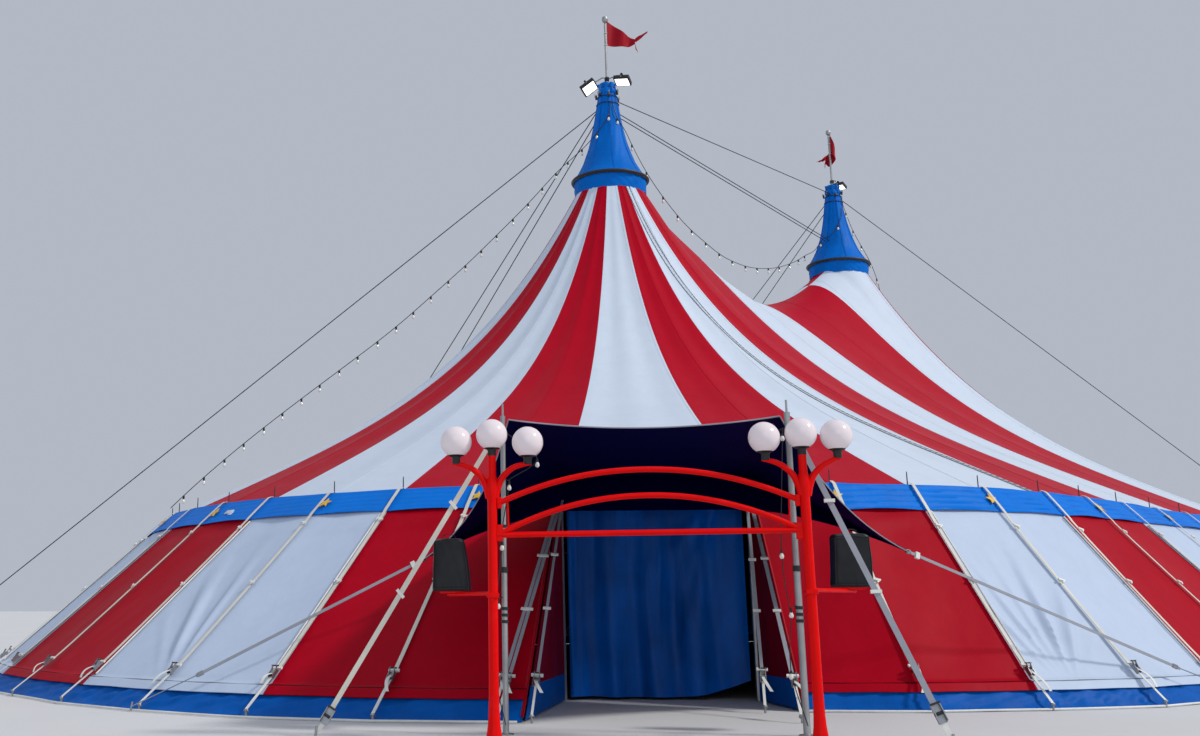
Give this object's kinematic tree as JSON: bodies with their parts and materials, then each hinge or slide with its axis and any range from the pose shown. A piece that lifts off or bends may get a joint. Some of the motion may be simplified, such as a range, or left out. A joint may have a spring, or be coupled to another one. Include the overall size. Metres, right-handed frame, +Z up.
{
  "type": "circus big top tent, 1:2 scale model",
  "caption": "Striped two-mast circus tent on a round-ended plan with sloping walls, blue mast caps, perimeter straps, mast stays and a draped entrance under an awning. 1:2 scale model.",
  "frame": {"origin": "middle of the tent on the floor, half way between the two mast feet, which is the bottom centre of the bounding box", "axes": "+Z up; +X runs along the line of the masts from the west mast to the east mast, the longest extent; +Y points to the back; the entrance is on the front left, facing away from the west mast at 139 degrees clockwise from +X"},
  "size_m": [22.7628, 15.45, 9.025],
  "materials": {
    "canopy": "satin coated PVC fabric, red and white stripes",
    "canopy_w": "satin coated PVC fabric, white and red stripes",
    "wall": "satin coated PVC fabric walls with a blue skirt",
    "wall_w": "satin coated PVC fabric walls with a blue skirt",
    "blue_cloth": "satin blue coated fabric",
    "navy_cloth": "dark navy coated fabric",
    "curtain": "matt deep blue curtain",
    "pennant_cloth": "red flag cloth",
    "galvanised": "galvanised steel tube",
    "dark_steel": "dark painted steel ring",
    "cable": "steel wire rope",
    "webbing": "off-white polyester webbing",
    "red_paint": "signal red painted steel tube with opal lamp globes",
    "lamp_housing": "dark painted lamp housing",
    "black_cover": "black fabric cover",
    "cord_black": "black rubber cord"
  },
  "bodies": {
    "root": {"canopy_entrance": "canopy", "wall_entrance": "wall_w", "canopy_west_front": "canopy_w", "wall_west_front": "wall", "canopy_west_back": "canopy_w", "wall_west_back": "wall", "canopy_front": "canopy", "wall_front": "wall_w", "canopy_east_front": "canopy_w", "wall_east_front": "wall", "canopy_east_end": "canopy", "wall_east_end": "wall", "canopy_east_back": "canopy_w", "wall_east_back": "wall", "canopy_back": "canopy", "wall_back": "wall_w", "side_poles_west": "galvanised", "side_poles_entrance": "galvanised", "side_poles_front": "galvanised", "side_poles_east": "galvanised", "side_poles_back": "galvanised", "end_stay_west": "cable", "end_stay_east": "cable", "back_stay_west_a": "cable", "back_stay_west_b": "cable", "back_stay_east_a": "cable", "back_stay_east_b": "cable", "ridge_cable": "cable", "ridge_cable_low_a": "cable", "ridge_cable_low_b": "cable", "mast_west": "galvanised", "cap_west": "blue_cloth", "collar_west": "blue_cloth", "bail_ring_west": "dark_steel", "pennant_west": "pennant_cloth", "mast_east": "galvanised", "cap_east": "blue_cloth", "collar_east": "blue_cloth", "bail_ring_east": "dark_steel", "pennant_east": "pennant_cloth", "awning": "navy_cloth", "awning_pole_left": "galvanised", "awning_guy_left": "webbing", "lamp_post_left": "red_paint", "loudspeaker_left": "black_cover", "doorway_cheek_left": "wall", "awning_pole_right": "galvanised", "awning_guy_right": "webbing", "lamp_post_right": "red_paint", "loudspeaker_right": "black_cover", "doorway_cheek_right": "wall", "entrance_curtain": "curtain", "lamp_arches": "red_paint", "floodlight_west_left": "lamp_housing", "floodlight_west_right": "lamp_housing", "floodlight_east": "lamp_housing", "light_string_west": "cord_black", "light_string_ridge": "cord_black", "light_string_east": "cord_black"}
  },
  "joints": []
}
